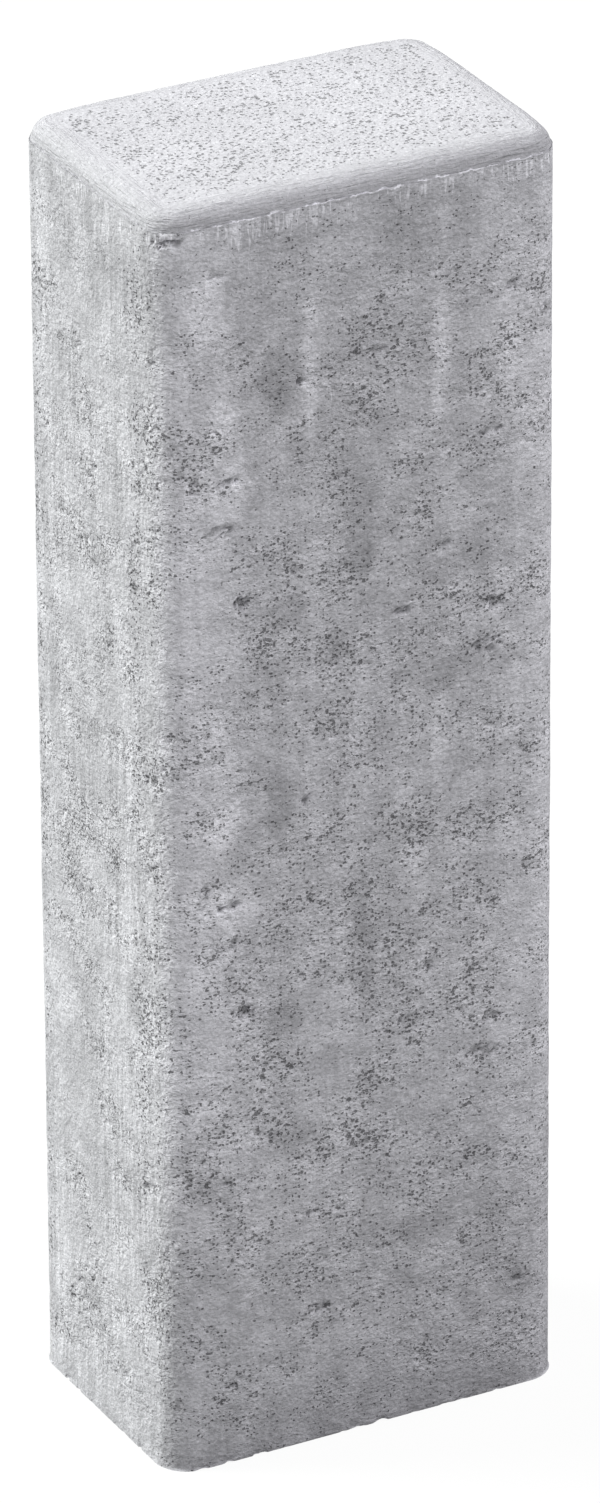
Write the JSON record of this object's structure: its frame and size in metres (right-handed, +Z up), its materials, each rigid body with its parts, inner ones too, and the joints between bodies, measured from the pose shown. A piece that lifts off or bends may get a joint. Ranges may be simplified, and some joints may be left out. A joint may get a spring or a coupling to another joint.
{
  "type": "palisade block",
  "caption": "Upright concrete palisade block of oblong section with round corners and a rounded top edge, set in a row as edging or a low retaining wall.",
  "frame": {"origin": "centre of the base, where the block stands on its bed", "axes": "+Z up to the stamped top face, +X along the wide faces, +Y through the depth from the front face to the back face"},
  "size_m": [0.18, 0.12, 0.55],
  "materials": {
    "concrete": "matte"
  },
  "bodies": {
    "root": {"palisade_block": "concrete"}
  },
  "joints": []
}
